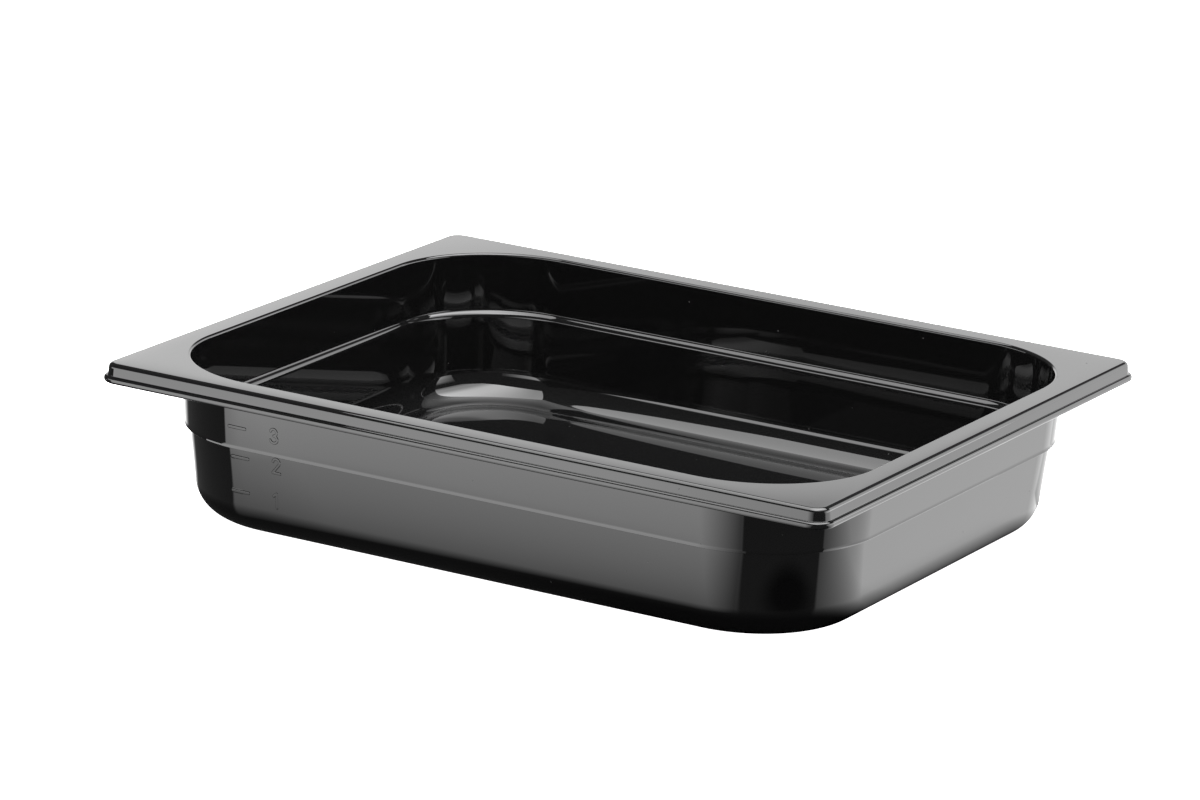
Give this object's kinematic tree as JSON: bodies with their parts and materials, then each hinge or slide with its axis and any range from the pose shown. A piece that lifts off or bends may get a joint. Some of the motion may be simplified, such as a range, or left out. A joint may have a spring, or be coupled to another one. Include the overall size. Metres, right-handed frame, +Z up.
{
  "type": "gastronorm food pan",
  "caption": "Shallow rectangular deli food pan in black plastic, with a flat flanged rim, turned-down lip, rounded corners and a stacking shoulder.",
  "frame": {"origin": "bottom centre of the pan, on the plane its base ring stands on", "axes": "+X along the long side, +Y along the short side, +Z up out of the mouth"},
  "size_m": [0.325, 0.265, 0.064],
  "materials": {
    "black_polycarbonate": "smooth moulded gloss black polycarbonate with fine handling scuffs"
  },
  "bodies": {
    "root": {"pan_body": "black_polycarbonate"}
  },
  "joints": []
}
